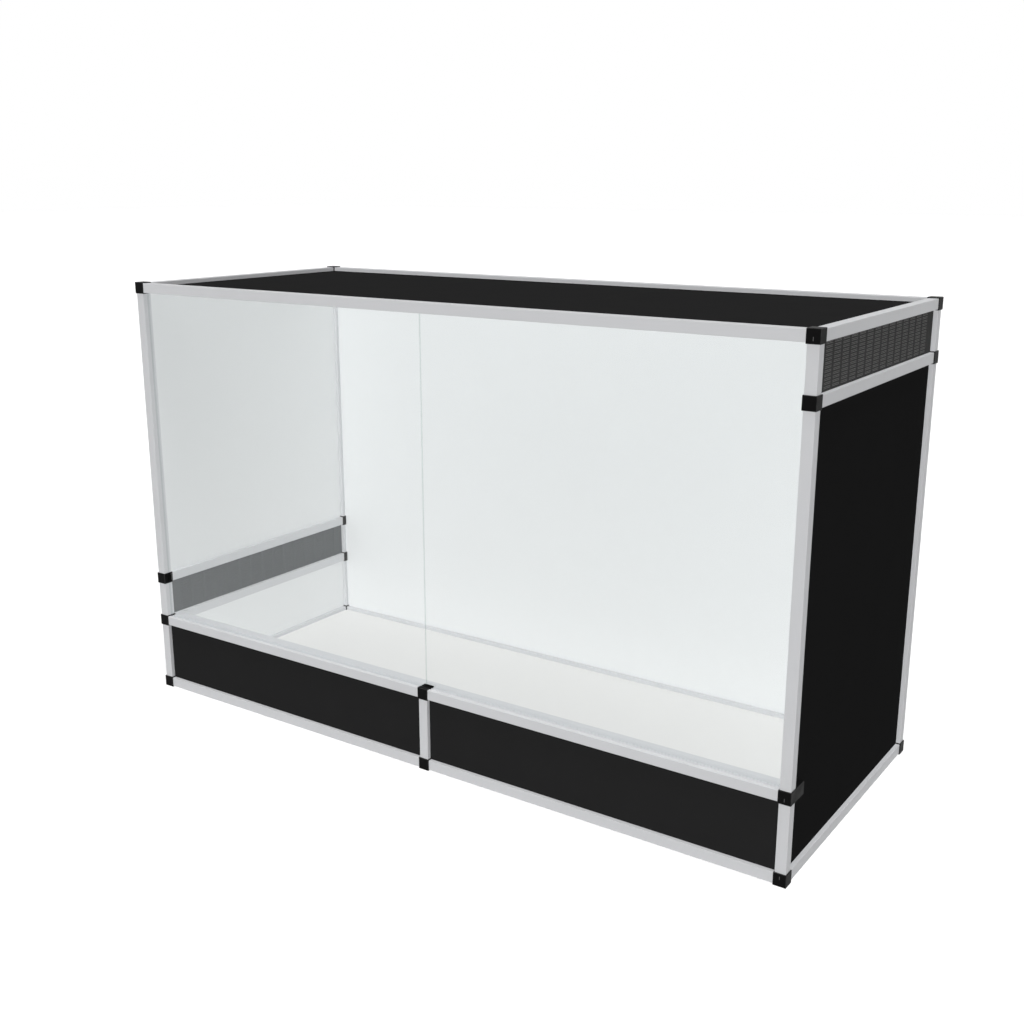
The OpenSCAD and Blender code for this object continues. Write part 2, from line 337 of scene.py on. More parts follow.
class GrowthTree(NodeSheet):
    """A Geometry Nodes tree with named inputs, which grows a piece from a mesh."""

    def __init__(self, name: str, kinds: dict[str, str]) -> None:
        """Starts the tree with its inputs and its output.

        Args:
            name: The tree's name.
            kinds: The socket type of each named input but the source and the finish.
        """
        super().__init__(bpy.data.node_groups.new(name, "GeometryNodeTree"))
        sockets = self.tree.interface
        sockets.new_socket("Source", in_out="INPUT", socket_type="NodeSocketGeometry")
        self.keys = {
            title: sockets.new_socket(
                title, in_out="INPUT", socket_type=kind
            ).identifier
            for title, kind in {**kinds, "Finish": "NodeSocketMaterial"}.items()
        }
        sockets.new_socket("Shape", in_out="OUTPUT", socket_type="NodeSocketGeometry")
        self.given = self.add("NodeGroupInput").outputs

    def vector(self, x: Socket | float, y: Socket | float, z: Socket | float) -> Socket:
        """Puts three sockets or numbers together as a vector.

        Args:
            x: The part along X.
            y: The part along Y.
            z: The part along Z.

        Returns:
            The socket of the vector.
        """
        node = self.add("ShaderNodeCombineXYZ", {"X": x, "Y": y, "Z": z})
        return node.outputs["Vector"]

    def together(self, *shapes: Socket) -> Socket:
        """Joins shapes into one.

        Args:
            *shapes: Their sockets, in the order of their points in the result.

        Returns:
            The socket of the joined shape.
        """
        node = self.add("GeometryNodeJoinGeometry")
        for shape in shapes:
            self.feed([shape], [node.inputs["Geometry"]])
        return node.outputs["Geometry"]

    def finish(self, shape: Socket) -> None:
        """Makes a shape real, gives it its finish and sends it to the output.

        Args:
            shape: The socket of the shape.
        """
        real = self.add("GeometryNodeRealizeInstances", {"Geometry": shape})
        painted = self.add(
            "GeometryNodeSetMaterial",
            {"Geometry": real.outputs["Geometry"], "Material": self.given["Finish"]},
        )
        self.add("NodeGroupOutput", {"Shape": painted.outputs["Geometry"]})

    def grow(
        self, name: str, source: bpy.types.Mesh, values: dict[str, object]
    ) -> bpy.types.Object:
        """Runs the tree on a mesh.

        Args:
            name: The name of the resulting piece.
            source: The mesh that the tree starts from.
            values: A value for each named input of the tree.

        Returns:
            The piece, with a plain mesh.
        """
        seed = mesh_object(f"{name}_source", source)
        step = seed.modifiers.new("growth", "NODES")
        step.node_group = self.tree
        for key, value in values.items():
            step[self.keys[key]] = value
        scene = bpy.context.evaluated_depsgraph_get()
        mesh = bpy.data.meshes.new_from_object(
            seed.evaluated_get(scene), depsgraph=scene
        )
        seed.modifiers.remove(step)
        bpy.data.objects.remove(seed)
        mesh.name = name
        for slot in reversed(range(len(mesh.materials))):
            if mesh.materials[slot] is None:
                mesh.materials.pop(index=slot)
        return mesh_object(name, mesh)


class StrokeTree(GrowthTree):
    """Sets a short rounded upright stroke on each point of a mesh."""

    ring_count: int = 9
    ring_sides: int = 8
    blunt: float = 0.3
    taper_power: float = 6.0

    def __init__(self) -> None:
        """Draws the tree."""
        sizes = ("Stroke length", "Stroke width")
        super().__init__("strokes", dict.fromkeys(sizes, "NodeSocketFloat"))
        strokes = self.add(
            "GeometryNodeInstanceOnPoints",
            {"Points": self.given["Source"], "Instance": self.stroke()},
        )
        self.finish(strokes.outputs["Instances"])

    def stroke(self) -> Socket:
        """Draws one stroke: an upright rod that thins towards both ends.

        Returns:
            The socket of the stroke's mesh.
        """
        ends = {
            end: self.vector(
                0.0, 0.0, self.sum("MULTIPLY", self.given["Stroke length"], share)
            )
            for share, end in ((-0.5, "Start"), (0.5, "End"))
        }
        line = self.add("GeometryNodeCurvePrimitiveLine", ends, mode="POINTS")
        rings = self.add(
            "GeometryNodeResampleCurve",
            {"Curve": line.outputs["Curve"], "Count": self.ring_count},
            mode="COUNT",
        )
        along = self.add("GeometryNodeSplineParameter").outputs["Factor"]
        offset = self.sum("MULTIPLY_ADD", along, 2.0, -1.0)
        steep = self.sum("POWER", offset, self.taper_power)
        thin = self.sum("SQRT", self.sum("SUBTRACT", 1.0, steep))
        half = self.sum("MULTIPLY", self.given["Stroke width"], 0.5)
        ring = self.add(
            "GeometryNodeCurvePrimitiveCircle",
            {"Resolution": self.ring_sides, "Radius": half},
            mode="RADIUS",
        )
        rod = self.add(
            "GeometryNodeCurveToMesh",
            {
                "Curve": rings.outputs["Curve"],
                "Profile Curve": ring.outputs["Curve"],
                "Scale": self.sum("MAXIMUM", thin, self.blunt),
                "Fill Caps": True,
            },
        )
        smooth = self.add(
            "GeometryNodeSetShadeSmooth", {"Geometry": rod.outputs["Mesh"]}
        )
        return smooth.outputs["Geometry"]


class SlotTree(GrowthTree):
    """Closes the rim of a vent plate with a field of slots, which slope down to +X.

    The slots stand in pairs. The field starts as a flat grid with one line for each
    edge of a slot. The cells between the two lines of a slot, both ways, are left out,
    and the rest is drawn out to a thickness. The sizes hold on the field's +X face.
    """

    weld: float = 0.00001

    def __init__(self) -> None:
        """Draws the tree."""
        sizes = (
            "Column pitch",
            "Slot length",
            "Pair pitch",
            "Pair gap",
            "Slot height",
            "Border",
            "Thickness",
            "Slope",
        )
        super().__init__(
            "slots",
            {
                "Middle": "NodeSocketVector",
                "Columns": "NodeSocketInt",
                "Pairs": "NodeSocketInt",
                **dict.fromkeys(sizes, "NodeSocketFloat"),
            },
        )
        flat = self.flat_field()
        drop = self.sum("MULTIPLY", self.fall(), -1.0)
        drawn = self.add(
            "GeometryNodeExtrudeMesh",
            {
                "Mesh": flat,
                "Offset": self.vector(self.given["Thickness"], 0.0, drop),
                "Individual": False,
            },
            mode="FACES",
        )
        back = self.add("GeometryNodeFlipFaces", {"Mesh": flat})
        shell = self.together(drawn.outputs["Mesh"], back.outputs["Mesh"])
        closed = self.add(
            "GeometryNodeMergeByDistance", {"Geometry": shell, "Distance": self.weld}
        )
        self.finish(self.together(self.given["Source"], closed.outputs["Geometry"]))

    def fall(self) -> Socket:
        """Returns the socket of how far a slot falls through the field's thickness."""
        slope = self.sum("TANGENT", self.given["Slope"])
        return self.sum("MULTIPLY", slope, self.given["Thickness"])

    def flat_field(self) -> Socket:
        """Draws the field's back face: a grid of lines, without the slots' cells.

        Returns:
            The socket of the flat mesh.
        """
        counts = (
            self.sum("MULTIPLY_ADD", self.given["Columns"], 2.0, 2.0),
            self.sum("MULTIPLY_ADD", self.given["Pairs"], 4.0, 2.0),
        )
        grid = self.add("GeometryNodeMeshGrid")
        spots = self.parts(self.add("GeometryNodeInputPosition").outputs["Position"])
        numbers = []
        for way, count, spot in zip("XY", counts, spots):
            reach = self.sum("SUBTRACT", count, 1.0)
            self.feed(
                (reach, count),
                (grid.inputs[f"Size {way}"], grid.inputs[f"Vertices {way}"]),
            )
            numbers.append(self.sum("MULTIPLY_ADD", reach, 0.5, spot))
        odd = [
            self.sum("MODULO", self.sum("FLOOR", number), 2.0)
            for number in numbers
        ]
        kept = self.add(
            "GeometryNodeDeleteGeometry",
            {
                "Geometry": grid.outputs["Mesh"],
                "Selection": self.sum("MULTIPLY", *odd),
            },
            domain="FACE",
        )
        pitch = self.given["Column pitch"]
        across = self.lines(
            numbers[0],
            counts[0],
            self.sum("MULTIPLY", pitch, 2.0),
            pitch,
            self.given["Slot length"],
        )
        up = self.lines(
            numbers[1],
            counts[1],
            self.given["Pair pitch"],
            self.given["Pair gap"],
            self.given["Slot height"],
        )
        middle_x, middle_y, middle_z = self.parts(self.given["Middle"])
        spot = self.vector(
            self.sum("MULTIPLY_ADD", self.given["Thickness"], -0.5, middle_x),
            self.sum("ADD", middle_y, across),
            self.sum("ADD", middle_z, self.sum("ADD", self.fall(), up)),
        )
        placed = self.add(
            "GeometryNodeSetPosition",
            {"Geometry": kept.outputs["Geometry"], "Position": spot},
        )
        return placed.outputs["Geometry"]

    def lines(
        self,
        number: Socket,
        count: Socket,
        pitch: Socket,
        gap: Socket,
        slot: Socket,
    ) -> Socket:
        """Places the grid's lines along one way, centred on 0.

        Args:
            number: The number of a line, from 0. The first and last are the borders.
            count: How many lines there are.
            pitch: From one pair of slots to the next.
            gap: From the first slot of a pair to the second.
            slot: The width of a slot.

        Returns:
            The socket of the line's place.
        """
        last = self.sum("SUBTRACT", count, 3.0)
        edge = self.sum("ROUND", self.sum("SUBTRACT", number, 1.0))
        inner = self.sum("MINIMUM", self.sum("MAXIMUM", edge, 0.0), last)
        places = []
        for step in (inner, last):
            pair = self.sum("FLOOR", self.sum("DIVIDE", step, 4.0))
            second = self.sum(
                "FLOOR",
                self.sum("DIVIDE", self.sum("MODULO", step, 4.0), 2.0),
            )
            side = self.sum("MODULO", step, 2.0)
            place = self.sum("MULTIPLY", side, slot)
            place = self.sum("MULTIPLY_ADD", second, gap, place)
            places.append(self.sum("MULTIPLY_ADD", pair, pitch, place))
        centred = self.sum("MULTIPLY_ADD", places[1], -0.5, places[0])
        outside = self.sum("SUBTRACT", edge, inner)
        return self.sum("MULTIPLY_ADD", outside, self.given["Border"], centred)


def plain_graph(name: str) -> tuple[bpy.types.Material, Graph]:
    """Makes an empty material.

    Args:
        name: The material's name.

    Returns:
        The material and its node tree.
    """
    material = bpy.data.materials.new(name)
    return material, Graph(material)


def shade(colour: Colour, factor: float) -> Colour:
    """Returns the colour times a factor."""
    return tuple(part * factor for part in colour)


@dataclass(frozen=True)
class AnodisedTube:
    """Satin anodised aluminium with fine die lines along the tube."""

    along: Axis
    colour: Colour = (0.555, 0.56, 0.573)
    drift: Span = (0.97, 1.03)
    metallic: float = 0.04
    gloss: float = 0.04
    roughness: Span = (0.42, 0.5)
    clouds_per_metre: float = 9.0
    lines_per_metre: float = 1400.0
    breaks_per_metre: float = 3.0
    line_depth: float = 0.00002
    line_strength: float = 0.35

    def build(self) -> bpy.types.Material:
        """Makes the finish.

        Returns:
            The material.
        """
        material, graph = plain_graph(f"anodised_{self.along.name.lower()}")
        point = graph.object_point()
        stretched = [self.lines_per_metre] * 3
        stretched[self.along.value] = self.breaks_per_metre
        lines = graph.noise(point, tuple(stretched), detail=FINE_LAYERS)
        clouds = graph.noise(point, self.clouds_per_metre, seed=(3.0, 5.0, 7.0))
        graph.coat(
            graph.clouded(clouds, self.colour, self.drift),
            graph.fit(lines, NOISE_REACH, self.roughness),
            graph.relief(lines, self.line_depth, self.line_strength),
            self.gloss,
            self.metallic,
        )
        return material


@dataclass(frozen=True)
class MouldedPlastic:
    """Black moulded plastic with a fine grain and a painted chamfer highlight."""

    name: str
    colour: Colour = (0.005, 0.005, 0.0051)
    drift: Span = (0.85, 1.15)
    # Painted highlight: the paler colour of the chamfers, where they would catch the
    # light, broken up in patches by a noise.
    chamfer_highlight: Colour = (0.04, 0.04, 0.04)
    highlight_share: Span = (0.4, 1.0)
    gloss: float = 0.024
    roughness: Span = (0.38, 0.5)
    clouds_per_metre: float = 40.0
    highlight_breaks_per_metre: float = 150.0
    grains_per_metre: float = 1800.0
    grain_depth: float = 0.00003
    grain_strength: float = 0.5

    def build(self) -> bpy.types.Material:
        """Makes the finish.

        Returns:
            The material.
        """
        material, graph = plain_graph(self.name)
        point = graph.object_point()
        grain = graph.noise(point, self.grains_per_metre, detail=FINE_LAYERS)
        clouds = graph.noise(point, self.clouds_per_metre, seed=(1.0, 4.0, 9.0))
        # Painted highlight: the chamfers are mixed towards the paler colour, in
        # patches.
        highlight_breakup = graph.noise(point, self.highlight_breaks_per_metre, seed=(8.0, 2.0, 5.0))
        highlight_amount = graph.fit(highlight_breakup, NOISE_REACH, self.highlight_share)
        graph.coat(
            graph.tones(
                graph.sum("MULTIPLY", graph.slant(), highlight_amount),
                graph.clouded(clouds, self.colour, self.drift),
                self.chamfer_highlight,
            ),
            graph.fit(clouds, NOISE_REACH, self.roughness),
            graph.relief(grain, self.grain_depth, self.grain_strength),
            self.gloss,
        )
        return material


@dataclass(frozen=True)
class TwoToneSheet:
    """A matt plastic sheet with a skin of another colour over its outer half.

    The skin lies on the faces that are square to the axes, and not in sloping slots.
    The colours are those of a foam board: black outside and white inside.
    """

    name: str
    outside: Side
    middle: float
    outer: Colour = (0.0165, 0.0165, 0.0167)
    outer_drift: Span = (0.95, 1.05)
    inner: Colour = (0.707, 0.716, 0.717)
    inner_drift: Span = (0.992, 1.0)
    skin_limits: Span = (0.99, 0.95)
    gloss: float = 0.0
    roughness: Span = (0.7, 0.82)
    clouds_per_metre: float = 14.0
    stipple_per_metre: float = 700.0
    stipple_depth: float = 0.00004
    stipple_strength: float = 0.3

    def build(self) -> bpy.types.Material:
        """Makes the finish.

        Returns:
            The material.
        """
        material, graph = plain_graph(self.name)
        point = graph.object_point()
        stipple = graph.noise(point, self.stipple_per_metre, detail=FINE_LAYERS)
        clouds = graph.noise(point, self.clouds_per_metre, seed=(2.0, 6.0, 1.0))
        axis, sign = self.outside.value
        outer_half = graph.sum(
            "GREATER_THAN" if sign > 0 else "LESS_THAN",
            graph.parts(point)[axis.value],
            self.middle,
        )
        # Slot walls take the inner colour, not the skin; on the vent plates that grey
        # is partly painted light.
        square = graph.sum("SUBTRACT", 1.0, graph.slant(self.skin_limits))
        graph.coat(
            graph.tones(
                graph.sum("MULTIPLY", outer_half, square),
                graph.clouded(clouds, self.inner, self.inner_drift),
                graph.clouded(clouds, self.outer, self.outer_drift),
            ),
            graph.fit(clouds, NOISE_REACH, self.roughness),
            graph.relief(stipple, self.stipple_depth, self.stipple_strength),
            self.gloss,
        )
        return material


@dataclass(frozen=True)
class FloatGlass:
    """Clear float glass: what is behind shows through it, with a mirror gloss on top.

    The tint is what one surface lets through, so a pane's two faces both count.
    """

    name: str
    tint: Colour
    gloss: Colour = WHITE
    roughness: float = 0.0
    index: float = 1.5

    def build(self) -> bpy.types.Material:
        """Makes the finish.

        Returns:
            The material.
        """
        material, graph = plain_graph(self.name)
        through = graph.add("ShaderNodeBsdfTransparent", {"Color": (*self.tint, 1.0)})
        mirror = graph.add(
            "ShaderNodeBsdfAnisotropic",
            {"Color": (*self.gloss, 1.0), "Roughness": self.roughness},
        )
        fresnel = graph.add("ShaderNodeFresnel", {"IOR": self.index})
        facing = graph.add("ShaderNodeNewGeometry").outputs["Backfacing"]
        outer = graph.sum("SUBTRACT", 1.0, facing)
        share = graph.sum("MULTIPLY", fresnel.outputs["Fac"], outer)
        graph.surface(
            graph.blend(share, through.outputs["BSDF"], mirror.outputs["BSDF"])
        )
        return material


def dress(nodes: Iterable[bpy.types.Object], material: bpy.types.Material) -> None:
    """Gives nodes of the frame a finish.

    Args:
        nodes: The frame's objects.
        material: The finish for all their material slots.
    """
    for node in nodes:
        if not node.material_slots:
            node.data.materials.append(material)
        for slot in node.material_slots:
            slot.material = material


def mesh_object(name: str, mesh: bpy.types.Mesh) -> bpy.types.Object:
    """Puts a mesh into the scene as an object at the origin.

    Args:
        name: The object's name.
        mesh: The object's mesh, in the frame's coordinates.

    Returns:
        The new object.
    """
    piece = bpy.data.objects.new(name, mesh)
    bpy.context.scene.collection.objects.link(piece)
    return piece


def thicken(shape: bmesh.types.BMesh, way: Triple) -> None:
    """Draws a flat shape out to a closed plate.

    Args:
        shape: The shape, with all its faces in one plane.
        way: Where the new face lies, seen from the first one.
    """
    drawn = bmesh.ops.extrude_face_region(
        shape, geom=shape.faces[:], use_keep_orig=True
    )
    moved = [g for g in drawn["geom"] if isinstance(g, bmesh.types.BMVert)]
    bmesh.ops.translate(shape, verts=moved, vec=way)
    bmesh.ops.recalc_face_normals(shape, faces=shape.faces)


def plain_mesh(name: str, shape: bmesh.types.BMesh) -> bpy.types.Mesh:
    """Turns a shape into a mesh, and frees the shape.

    Args:
        name: The mesh's name.
        shape: The shape.

    Returns:
        The mesh.
    """
    mesh = bpy.data.meshes.new(name)
    shape.to_mesh(mesh)
    shape.free()
    return mesh


def middle(name: str, axis: Axis) -> float:
    """Returns where the middle of a node lies along an axis."""
    low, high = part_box(name)
    return (low[axis.value] + high[axis.value]) / 2


@dataclass
class TubeFrame:
    """The rails and posts, each with die lines along its own length."""

    nodes: dict[str, bpy.types.Object]

    def length_axis(self, name: str) -> Axis:
        """Returns the axis along which a tube is longest."""
        low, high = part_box(name)
        return max(Axis, key=lambda axis: (high - low)[axis.value])

    def dress(self) -> int:
        """Gives every tube its finish.

        Returns:
            How many tubes were dressed.
        """
        finishes = {axis: AnodisedTube(axis).build() for axis in Axis}
        tubes = [n for n in self.nodes if n.startswith(("rail_", "post_"))]
        for name in tubes:
            dress([self.nodes[name]], finishes[self.length_axis(name)])
        return len(tubes)


@dataclass
class ConnectorSet:
    """The cube connectors, and the trimmed mould gate on one face of each corner cube.

    The gate lies on the face's middle line, a little towards the upright peg. Its pale
    colour is a painted glint on the black plastic.
    """

    nodes: dict[str, bpy.types.Object]
    body: str = "frame"
    gate_width: float = 0.0012
    gate_length: float = 0.0075
    gate_proud: float = 0.0003
    gate_shift: float = 0.004
    # Painted glint: the gate's pale colour stands for light caught by the raised
    # stroke.
    gate_glint_colour: Colour = (0.1, 0.1, 0.1)
    cube_width: float = 0.024
    gated: dict[str, Side] = field(
        default_factory=lambda: {
            "connector_top_front_right": Side.FRONT,
            "connector_sill_front_right": Side.FRONT,
            "connector_bottom_front_right": Side.FRONT,
            "connector_top_back_right": Side.BACK,
            "connector_bottom_back_right": Side.BACK,
            "connector_top_back_left": Side.BACK,
            "connector_bottom_back_left": Side.BACK,
            "connector_top_front_left": Side.LEFT,
            "connector_bottom_front_left": Side.LEFT,
        }
    )

    def dress(self) -> int:
        """Gives every connector its finish.

        Returns:
            How many connectors were dressed.
        """
        cubes = [n for n in self.nodes if n.startswith("connector_")]
        finish = MouldedPlastic("moulded_connector").build()
        dress([self.nodes[n] for n in cubes], finish)
        return len(cubes)

    def gate_point(self, name: str, side: Side) -> Vector:
        """Finds the middle of a cube's gate.

        Args:
            name: The connector's node.
            side: The outside face of the cube that has the gate.

        Returns:
            A point on the rod's axis, just inside the cube's face.
        """
        low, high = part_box(name)
        point = (low + high) / 2
        half = self.cube_width / 2
        for place, out in enumerate(self.outward(name)):
            if out:
                edge = high[place] if out > 0 else low[place]
                point[place] = edge - out * half
        axis, sign = side.value
        sunk = self.gate_width / 2 - self.gate_proud
        point[axis.value] += sign * (half - sunk)
        up = 1 if "_bottom_" in name else -1
        point.z += up * self.gate_shift
        return point

    @staticmethod
    def outward(name: str) -> tuple[int, int, int]:
        """Finds the sides of a cube that have no peg.

        Args:
            name: The connector's node.

        Returns:
            For each axis, the sign of that side, or 0 if both sides have a peg.
        """
        upward = {"top": 1, "bottom": -1}
        return (
            1 if name.endswith("right") else -1,
            1 if "_back_" in name else -1,
            upward.get(name.split("_")[1], 0),
        )

    def gates(self) -> bpy.types.Object:
        """Makes the gates of all the corner cubes as one piece.

        Returns:
            The piece.
        """
        points = bpy.data.meshes.new("gate_points")
        points.from_pydata(
            [self.gate_point(n, side) for n, side in self.gated.items()], [], []
        )
        # The pale gate colour is a painted glint on the same black plastic.
        finish = MouldedPlastic(
            "moulded_gate", colour=self.gate_glint_colour, chamfer_highlight=self.gate_glint_colour
        )
        gates = StrokeTree().grow(
            "connector_gates",
            points,
            {
                "Stroke length": self.gate_length,
                "Stroke width": self.gate_width,
                "Finish": finish.build(),
            },
        )
        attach(gates, self.body)
        return gates


@dataclass
class BoardSet:
    """The thin boards. Each has its black skin on the outside of the terrarium.

    The blacks are scaled by a factor for each board, as painted light and shade: the
    top and front boards lighter, the right board darker. The floor is a warmer white
    than the walls.
    """

    nodes: dict[str, bpy.types.Object]
    outside: dict[str, Side] = field(
        default_factory=lambda: {
            "panel_floor": Side.DOWN,
            "panel_top": Side.UP,
            "panel_back": Side.BACK,
            "panel_right": Side.RIGHT,
            "panel_left_lower": Side.LEFT,
            "panel_left_upper": Side.LEFT,
            "panel_front_left": Side.FRONT,
            "panel_front_right": Side.FRONT,
        }
    )
    # Painted light and shade on the black skins: the top and front boards lighter, the
    # right board darker.
    painted_light_factors: dict[str, float] = field(
        default_factory=lambda: {
            "panel_top": 1.16,
            "panel_right": 0.72,
            "panel_front_left": 1.06,
            "panel_front_right": 1.06,
        }
    )
    whites: dict[str, Colour] = field(
        default_factory=lambda: {"panel_floor": (0.707, 0.7, 0.689)}
    )

    def dress(self) -> int:
        """Gives every board its two skins.

        Returns:
            How many boards were dressed.
        """
        for name, side in self.outside.items():
            finish = TwoToneSheet(
                f"board_{name.removeprefix('panel_')}",
                side,
                middle(name, side.value[0]),
                # The black, painted lighter or darker for how the light falls on this
                # board.
                outer=shade(TwoToneSheet.outer, self.painted_light_factors.get(name, 1.0)),
                inner=self.whites.get(name, TwoToneSheet.inner),
            )
            dress([self.nodes[name]], finish.build())
        return len(self.outside)


@dataclass(frozen=True)
class VentPlate:
    """One vent plate: its node, outside, lower and upper rail, and inner grey."""

    node: str
    outside: Side
    rails: tuple[str, str]
    inner: Colour


@dataclass
class VentPlates:
    """The two vent plates: black on the outside, grey on the inside. The grey, which
    also covers the slot walls, is partly painted light: it stands in for light seen
    through the slots, and is paler on the right plate than on the left.

    Each has a rim, notched round the cube connectors, and a thinner field of slots in
    pairs. The slots fall to the right through the field, so steeply that no level sight
    line passes them.
    """

    body: str = "frame"
    columns: int = 14
    pairs: int = 12
    column_pitch: float = 0.0375
    slot_length: float = 0.03
    pair_pitch: float = 0.00625
    pair_gap: float = 0.0024
    slot_height: float = 0.0009
    slope: float = 34.0
    field_thickness: float = 0.0015
    land: float = 0.001
    lap: float = 0.0015
    notch_depth: float = 0.0063
    notch_reach: float = 0.0125
    outer: Colour = (0.053, 0.053, 0.0525)
    plates: tuple[VentPlate, ...] = (
        VentPlate(
            "vent_left",
            Side.LEFT,
            ("rail_left_vent_lower", "rail_left_vent_upper"),
            # Inner grey, painted darker on this plate than on the right one, as painted
            # shade.
            (0.118, 0.126, 0.129),
        ),
        VentPlate(
            "vent_right",
            Side.RIGHT,
            ("rail_right_vent", "rail_top_right"),
            # Inner grey, painted paler, as painted light: on the slot walls it stands
            # in for light seen through the slots.
            (0.166, 0.165, 0.164),
        ),
    )

    def rim(self, plate: VentPlate) -> bpy.types.Mesh:
        """Makes the rim: 5 x 5 cells, without those at the corners and in the middle.

        Args:
            plate: Where the plate stands.

        Returns:
            The rim's mesh.
        """
        low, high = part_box(plate.node)
        below, above = (middle(rail, Axis.Z) for rail in plate.rails)
        half_l = (
            (self.columns - 1) * self.column_pitch + self.slot_length
        ) / 2 + self.land
        half_h = (
            (self.pairs - 1) * self.pair_pitch + self.pair_gap + self.slot_height
        ) / 2 + self.land
        centre_z = (below + above) / 2
        ys = (
            low.y,
            low.y + self.notch_depth,
            -half_l,
            half_l,
            high.y - self.notch_depth,
            high.y,
        )
        zs = (
            low.z,
            below + self.notch_reach,
            centre_z - half_h,
            centre_z + half_h,
            above - self.notch_reach,
            high.z,
        )
        shape = bmesh.new()
        dots = [[shape.verts.new((low.x, y, z)) for z in zs] for y in ys]
        left_out = {*product((0, 4), repeat=2), (2, 2)}
        for i, j in product(range(5), repeat=2):
            if (i, j) not in left_out:
                shape.faces.new(
                    (dots[i][j], dots[i + 1][j], dots[i + 1][j + 1], dots[i][j + 1])
                )
        loose = [dot for row in dots for dot in row if not dot.link_faces]
        bmesh.ops.delete(shape, geom=loose, context="VERTS")
        thicken(shape, (high.x - low.x, 0.0, 0.0))
        return plain_mesh(f"{plate.node}_rim", shape)

    def plate(self, tree: SlotTree, place: VentPlate) -> bpy.types.Object:
        """Makes one plate, which stands for its node.

        Args:
            tree: The tree that makes the slotted field.
            place: Where the plate stands.

        Returns:
            The plate.
        """
        centre_x = middle(place.node, Axis.X)
        centre_z = sum(middle(rail, Axis.Z) for rail in place.rails) / 2
        finish = TwoToneSheet(
            f"moulded_{place.node}",
            place.outside,
            centre_x,
            outer=self.outer,
            inner=place.inner,
        )
        plate = tree.grow(
            f"{place.node}_plate",
            self.rim(place),
            {
                "Middle": (centre_x, 0.0, centre_z),
                "Columns": self.columns,
                "Pairs": self.pairs,
                "Column pitch": self.column_pitch,
                "Slot length": self.slot_length,
                "Pair pitch": self.pair_pitch,
                "Pair gap": self.pair_gap,
                "Slot height": self.slot_height,
                "Border": self.land + self.lap,
                "Thickness": self.field_thickness,
                "Slope": math.radians(self.slope),
                "Finish": finish.build(),
            },
        )
        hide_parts(place.node)
        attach(plate, self.body)
        return plate

    def build(self) -> list[bpy.types.Object]:
        """Makes both plates.

        Returns:
            The plates.
        """
        tree = SlotTree()
        return [self.plate(tree, place) for place in self.plates]


@dataclass(frozen=True)
class SillLedge:
    """The flat ledge behind the two sill rails, flush with their tops.

    It is notched round the cube connectors, which stand proud of the rails.
    """

    rails: tuple[str, str] = ("rail_sill_left", "rail_sill_right")
    body: str = "frame"
    depth: float = 0.0205
    thickness: float = 0.002
    notch: float = 0.0025
    gap: float = 0.0005
    reach: float = 0.002

    def outline(self) -> list[tuple[float, float]]:
        """Draws the ledge as seen from above.

        Returns:
            The X and Y of its corners, anticlockwise from the back left one.
        """
        boxes = [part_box(rail) for rail in self.rails]
        front = boxes[0][1].y
        back, shoulder = front + self.depth, front + self.notch
        left, right = boxes[0][0].x - self.reach, boxes[-1][1].x + self.reach
        corners = [(left, back), (left, shoulder)]
        for low, high in boxes:
            start, end = low.x + self.gap, high.x - self.gap
            corners += [
                (start, shoulder),
                (start, front),
                (end, front),
                (end, shoulder),
            ]
        return [*corners, (right, shoulder), (right, back)]

    def build(self, finish: bpy.types.Material) -> bpy.types.Object:
        """Makes the ledge.

        Args:
            finish: The finish of the rails.

        Returns:
            The ledge.
        """
        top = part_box(self.rails[0])[1].z
        shape = bmesh.new()
        shape.faces.new([shape.verts.new((x, y, top)) for x, y in self.outline()])
        thicken(shape, (0.0, 0.0, -self.thickness))
        mesh = plain_mesh("sill_ledge", shape)
        mesh.materials.append(finish)
        ledge = mesh_object("sill_ledge", mesh)
        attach(ledge, self.body)
        return ledge


@dataclass
class GlassDoors:
    """The two sliding panes, with ground edges."""

    bodies: dict[str, str] = field(
        default_factory=lambda: {"door_left": "left_door", "door_right": "right_door"}
    )
    arris: float = 0.0004
    arris_steps: int = 2
    face_limit: float = 0.999
    face_tint: Colour = (0.98, 0.99, 0.992)
    edge_tint: Colour = (0.9, 0.925, 0.92)
    edge_roughness: float = 0.15

    def pane(self, node: str) -> bpy.types.Mesh:
        """Cuts one pane: a slab with narrow bevels, clear faces and tinted edges.

        Args:
            node: The frame's node that the pane stands for.

        Returns:
            The pane's mesh, with slot 0 for its faces and slot 1 for its edges.
        """
        low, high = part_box(node)
        size = high - low
        centre = (high + low) / 2
        shape = bmesh.new()
        bmesh.ops.create_cube(shape, size=1.0)
        shape.transform(Matrix.Translation(centre) @ Matrix.Diagonal((*size, 1.0)))
        bmesh.ops.bevel(
            shape,
            geom=shape.edges[:],
            offset=self.arris,
            segments=self.arris_steps,
            affect="EDGES",
        )
        for face in shape.faces:
            face.material_index = int(abs(face.normal.y) < self.face_limit)
        return plain_mesh(f"{node}_pane", shape)

    def build(self) -> list[bpy.types.Object]:
        """Makes both panes and rides them on their doors.

        Returns:
            The panes.
        """
        face = FloatGlass("glass_face", self.face_tint).build()
        edge = FloatGlass(
            "glass_edge", self.edge_tint, roughness=self.edge_roughness
        ).build()
        panes = []
        for node, body in self.bodies.items():
            pane = mesh_object(f"{node}_pane", self.pane(node))
            pane.data.materials.append(face)
            pane.data.materials.append(edge)
            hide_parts(node)
            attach(pane, body)
            panes.append(pane)
        return panes


